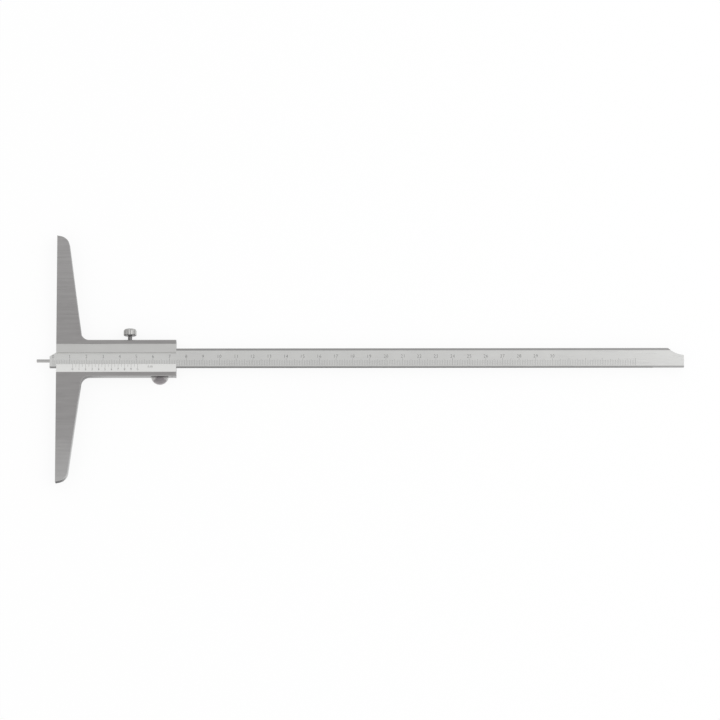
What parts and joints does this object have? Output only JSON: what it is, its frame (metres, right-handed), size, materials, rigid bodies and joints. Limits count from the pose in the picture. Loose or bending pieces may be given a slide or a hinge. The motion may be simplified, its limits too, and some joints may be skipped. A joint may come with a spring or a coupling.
{
  "type": "depth caliper",
  "caption": "Vernier depth caliper: flat beam with a round measuring needle, sliding in a grooved slider ground in one piece with a wide bridge, with a lock screw and a thumb rest.",
  "frame": {"origin": "on the measuring face of the bridge, in the middle of the bridge's length, level with the flat back that the caliper lies on", "axes": "+X along the beam, away from the measured surface; +Y along the bridge, towards the lock screw; +Z out of the scale's face"},
  "size_m": [0.389, 0.15, 0.008],
  "materials": {
    "ground_steel": "ground",
    "satin_beam": "satin",
    "hardened_pin": "ground",
    "spring_bronze": "rolled",
    "turned_steel": "turned",
    "turned_rest": "turned"
  },
  "bodies": {
    "slider": {"slider_bridge": "ground_steel", "thumb_rest": "turned_rest", "leaf_spring": "spring_bronze", "stop_pin": "hardened_pin"},
    "beam": {"beam": "satin_beam", "depth_pin": "hardened_pin"},
    "screw": {"lock_screw": "turned_steel"}
  },
  "joints": [
    {"name": "beam_slide", "type": "slide", "parent": "slider", "child": "beam", "axis": [-1, 0, 0], "range_m": [-0.01185, 0.28815]},
    {"name": "lock_screw_turn", "type": "hinge", "parent": "slider", "child": "screw", "pos_m": [0.0441, 0.011, 0.0041], "axis": [0, 1, 0], "range_deg": [-180, 180]}
  ]
}
